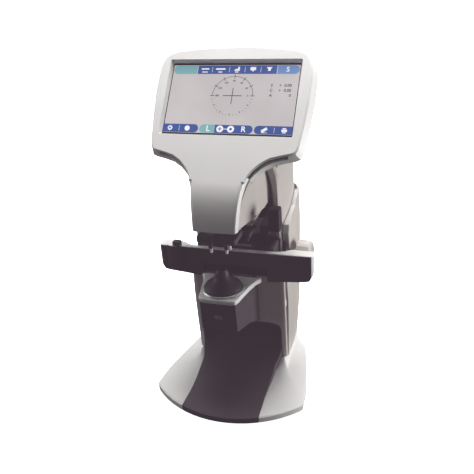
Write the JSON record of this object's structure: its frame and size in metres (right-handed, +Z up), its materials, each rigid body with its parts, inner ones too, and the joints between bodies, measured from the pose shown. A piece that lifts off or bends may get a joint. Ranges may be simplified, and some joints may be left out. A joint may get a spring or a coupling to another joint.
{
  "type": "digital lens meter",
  "caption": "Desktop optician's lens meter: tilted touch-screen head and neck on a column, over a nosepiece, knob-fed lens table, lens presser and marking slide, on a flared scooped base.",
  "frame": {"origin": "middle of the bounding box, on the plane the feet stand on", "axes": "+Z up, -Y towards the user (the screen, nosepiece and lens table side), +X to the right as the user sees it"},
  "size_m": [0.198, 0.212, 0.4159],
  "materials": {
    "white_shell": "fine-grained off-white moulding",
    "table_top": "smooth off-white strip",
    "grey_shell": "fine-grained warm grey moulding",
    "dark_shell": "satin charcoal moulding",
    "black_part": "satin black moulding",
    "rubber": "matt black rubber",
    "steel": "ground steel",
    "sheet_steel": "plated sheet steel",
    "metal_can": "folded metal case",
    "aluminium": "satin aluminium",
    "brass": "turned brass",
    "screen_glass": "polished dark touch glass",
    "lens_glass": "polished clear glass",
    "board": "green circuit board",
    "felt": "inked felt",
    "nylon": "natural nylon",
    "paper": "thermal paper"
  },
  "bodies": {
    "instrument": {"base_shell": "white_shell", "base_scoop": "dark_shell", "bottom_plate": "sheet_steel", "foot_front_left": "rubber", "foot_front_right": "rubber", "foot_rear_left": "rubber", "foot_rear_right": "rubber", "lower_column_cover": "grey_shell", "upper_column_cover": "grey_shell", "rear_cover": "grey_shell", "neck_housing": "grey_shell", "collimator_lens": "lens_glass", "lamp_housing": "black_part", "support_frame": "aluminium", "power_supply": "metal_can", "power_inlet": "black_part", "printer_module": "black_part", "paper_roll": "paper", "screen_bezel": "white_shell", "bezel_gasket": "black_part", "head_rear_shell": "white_shell", "touch_glass": "screen_glass", "lcd_module": "metal_can", "main_board": "board", "ink_pad_tray": "black_part", "ink_pad": "felt", "guide_bed": "black_part", "shaft_bush": "brass", "pedestal_body": "dark_shell", "pedestal_plate": "white_shell", "brim_ring": "aluminium", "dome_cover": "black_part", "nosepiece": "black_part", "sensor_tube": "aluminium"},
    "lens_presser": {"presser_frame": "dark_shell", "presser_rod_left": "steel", "presser_rod_right": "steel", "presser_pin_left": "nylon", "presser_pin_right": "nylon", "presser_pin_rear": "nylon"},
    "marking_unit": {"marking_carriage": "black_part", "marking_grip": "black_part"},
    "marking_head": {"marking_fork": "dark_shell", "marking_pin_left": "steel", "marking_pin_centre": "steel", "marking_pin_right": "steel"},
    "lens_table": {"table_bar": "dark_shell", "table_top": "table_top", "table_carriage": "dark_shell", "guide_rod_left": "steel", "guide_rod_right": "steel", "table_rack": "nylon"},
    "feed_knob": {"pinion_shaft": "steel", "table_knob": "grey_shell"},
    "nose_stop": {"nose_slider": "dark_shell", "nose_pad": "rubber"},
    "button": {"read_button": "dark_shell", "button_spring": "steel"},
    "rocker": {"power_rocker": "black_part"},
    "door": {"printer_door": "grey_shell"}
  },
  "joints": [
    {"name": "presser_slide", "type": "slide", "parent": "instrument", "child": "lens_presser", "axis": [0, 0, -1], "range_m": [0, 0.017]},
    {"name": "marking_slide", "type": "slide", "parent": "instrument", "child": "marking_unit", "axis": [0, -1, 0], "range_m": [0, 0.0555], "stiffness_N_per_m": 15, "springref_m": -0.02},
    {"name": "marking_press", "type": "slide", "parent": "marking_unit", "child": "marking_head", "axis": [0, 0, -1], "range_m": [0, 0.005], "stiffness_N_per_m": 150, "springref_m": -0.003},
    {"name": "table_slide", "type": "slide", "parent": "instrument", "child": "lens_table", "axis": [0, -1, 0], "range_m": [0, 0.023]},
    {"name": "knob_turn", "type": "hinge", "parent": "instrument", "child": "feed_knob", "pos_m": [0, 0.052, 0.158], "axis": [1, 0, 0], "range_deg": [0, 132]},
    {"name": "nose_slide", "type": "slide", "parent": "lens_table", "child": "nose_stop", "axis": [1, 0, 0], "range_m": [0, 0.156]},
    {"name": "button_press", "type": "slide", "parent": "instrument", "child": "button", "axis": [0, 1, 0], "range_m": [0, 0.0015], "stiffness_N_per_m": 400, "springref_m": -0.001},
    {"name": "rocker_tilt", "type": "hinge", "parent": "instrument", "child": "rocker", "pos_m": [0.032, 0.099, 0.05], "axis": [1, 0, 0], "range_deg": [0, 12]},
    {"name": "door_swing", "type": "hinge", "parent": "instrument", "child": "door", "pos_m": [-0.0642, 0.051, 0.0702], "axis": [0, -1, 0], "range_deg": [0, 60]}
  ],
  "couplings": [
    {"joint": "knob_turn", "follows": "table_slide", "rad_per_m": 100}
  ]
}
